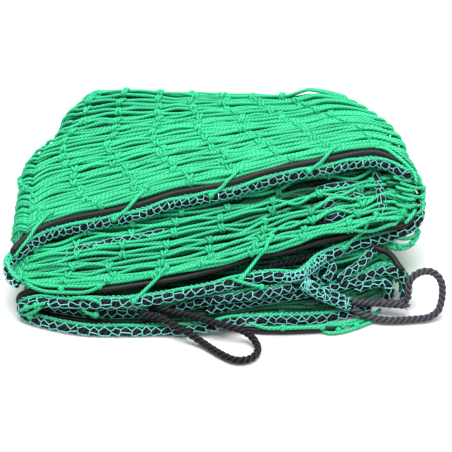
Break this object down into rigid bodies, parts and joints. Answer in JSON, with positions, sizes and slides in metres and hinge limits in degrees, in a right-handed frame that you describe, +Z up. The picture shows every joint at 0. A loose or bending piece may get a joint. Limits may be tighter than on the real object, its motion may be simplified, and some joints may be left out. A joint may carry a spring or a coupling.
{
  "type": "trailer net",
  "caption": "Bright green knotted cargo net folded back and forth into a loose pad, with an elastic cord and a sewn rope border along its edges and rope eyes at its corners.",
  "frame": {"origin": "middle of the footprint, without the loose rope eyes, on the floor", "axes": "+X along the strands of the folded net, -Y toward the edges with the border rope, +Z up"},
  "size_m": [0.4079, 0.3136, 0.1146],
  "materials": {
    "twine": "bright green twisted plastic twine, slightly glossy",
    "elastic": "smooth black elastic cord with a woven sheath",
    "rope": "black twisted rope, matt",
    "thread": "thin turquoise sewing thread over black rope"
  },
  "bodies": {
    "root": {"net": "twine", "elastic_top": "elastic", "elastic_front": "elastic", "border_rope_top": "rope", "border_rope_front": "rope", "border_rope_inner": "rope", "border_rope_corner": "rope", "corner_seizing": "thread", "rope_eye_front": "rope", "rope_eye_side": "rope"}
  },
  "joints": []
}
